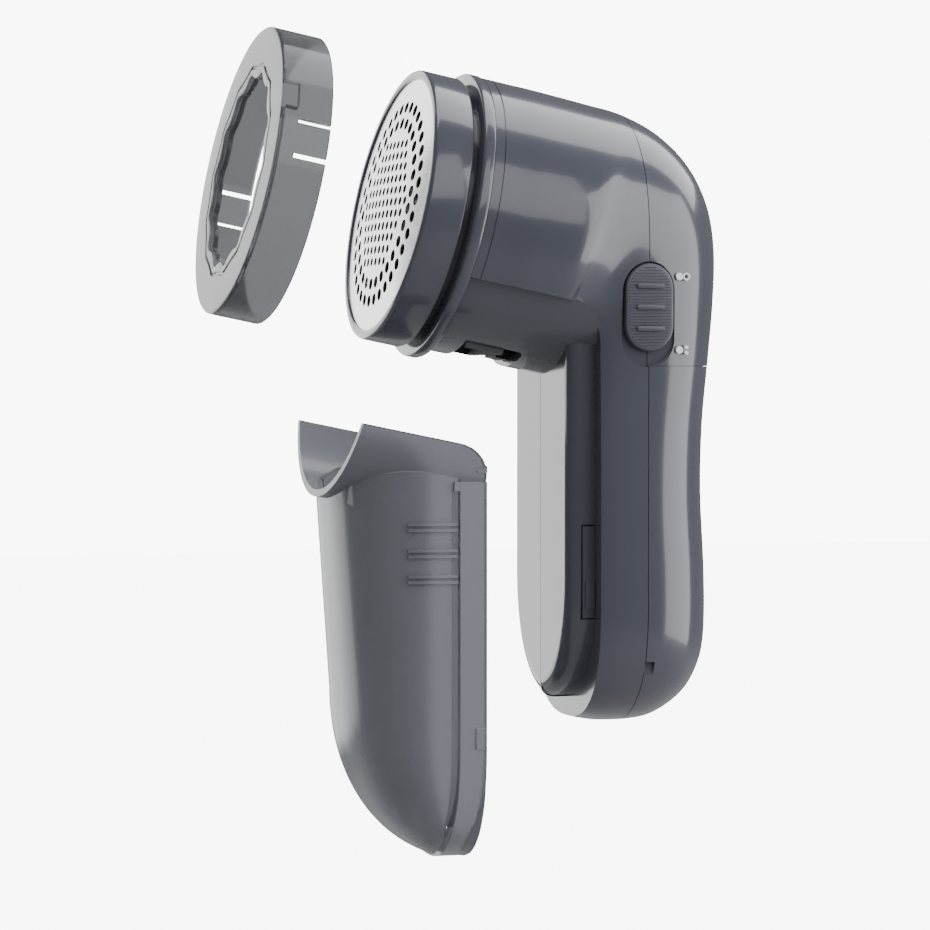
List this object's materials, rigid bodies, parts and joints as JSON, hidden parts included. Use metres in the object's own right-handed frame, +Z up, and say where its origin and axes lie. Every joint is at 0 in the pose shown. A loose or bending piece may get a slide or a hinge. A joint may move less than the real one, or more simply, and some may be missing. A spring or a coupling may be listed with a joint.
{
  "type": "fabric shaver",
  "caption": "Handheld battery fabric shaver: round perforated foil head at an angle on an upright grip, slide switch, clip-on height guard and a clear lint container, both shown taken off.",
  "frame": {"origin": "centre of the foil ring's front face, on the head axis", "axes": "+Z up along the handle, -Y the way the foil faces (tilted 11.5 degrees up), +X the side with the slide switch"},
  "size_m": [0.0632, 0.1135, 0.1806],
  "materials": {
    "body_plastic": "glossy blue-grey ABS",
    "smoky_clear": "smoky transparent AS plastic",
    "foil_steel": "bright perforated stainless foil",
    "steel": "plain steel",
    "nickel": "nickel-plated strip and wire",
    "dark_plastic": "matt black moulding",
    "inner_plastic": "matt dark grey moulding",
    "pale_plastic": "natural acetal",
    "mark_white": "white pad print",
    "brass": "brass terminals",
    "cell_wrap": "printed cell sleeve without marks",
    "lead_red": "PVC lead",
    "lead_black": "PVC lead"
  },
  "bodies": {
    "housing": {"head_collar": "body_plastic", "front_shell": "body_plastic", "rear_shell": "body_plastic", "blade_chamber": "inner_plastic", "lint_duct": "inner_plastic", "motor_can": "steel", "motor_endcap": "pale_plastic", "motor_terminals": "brass", "motor_bracket": "inner_plastic", "motor_screws": "nickel", "slide_switch": "dark_plastic", "icon_marks": "mark_white", "battery_tray": "inner_plastic", "battery_1": "cell_wrap", "battery_2": "cell_wrap", "contact_bridge": "nickel", "contact_tabs": "nickel", "contact_springs": "nickel", "lead_positive": "lead_red", "lead_motor": "lead_red", "lead_negative": "lead_black", "interlock_spring": "nickel", "micro_switch": "dark_plastic", "housing_screws": "steel", "latch_tabs": "body_plastic"},
    "foil_head": {"foil_ring": "body_plastic", "shaving_foil": "foil_steel"},
    "rotor": {"drive_dog": "pale_plastic", "motor_shaft": "steel", "blade_spring": "nickel"},
    "blades": {"blade_hub": "dark_plastic", "rotor_blades": "steel"},
    "switch": {"switch_knob": "body_plastic", "switch_carriage": "pale_plastic"},
    "battery_door": {"battery_cover": "body_plastic"},
    "interlock": {"interlock_lever": "dark_plastic"},
    "guard": {"height_guard": "smoky_clear"},
    "container": {"lint_container": "smoky_clear"}
  },
  "joints": [
    {"name": "foil_twist", "type": "hinge", "parent": "housing", "child": "foil_head", "pos_m": [0, 0, 0], "axis": [0, -0.9799, 0.1994], "range_deg": [0, 25]},
    {"name": "rotor_spin", "type": "hinge", "parent": "housing", "child": "rotor", "pos_m": [0, 0, 0], "axis": [0, -0.9799, 0.1994], "continuous": true},
    {"name": "blade_float", "type": "slide", "parent": "rotor", "child": "blades", "axis": [0, 0.9799, -0.1994], "range_m": [0, 0.001], "stiffness_N_per_m": 600, "deforming": ["blade_spring"]},
    {"name": "switch_slide", "type": "slide", "parent": "housing", "child": "switch", "axis": [0, 0, -1], "range_m": [0, 0.003]},
    {"name": "cover_slide", "type": "slide", "parent": "housing", "child": "battery_door", "axis": [0, 1, 0], "range_m": [0, 0.045]},
    {"name": "interlock_press", "type": "slide", "parent": "housing", "child": "interlock", "axis": [0, 0.1994, 0.9799], "range_m": [0, 0.0018], "stiffness_N_per_m": 300, "deforming": ["interlock_spring"]},
    {"name": "guard_slide", "type": "slide", "parent": "housing", "child": "guard", "axis": [0, 0.9799, -0.1994], "range_m": [0, 0.0303]},
    {"name": "container_slide", "type": "slide", "parent": "housing", "child": "container", "axis": [0, 0.6476, 0.7619], "range_m": [0, 0.03937]}
  ]
}
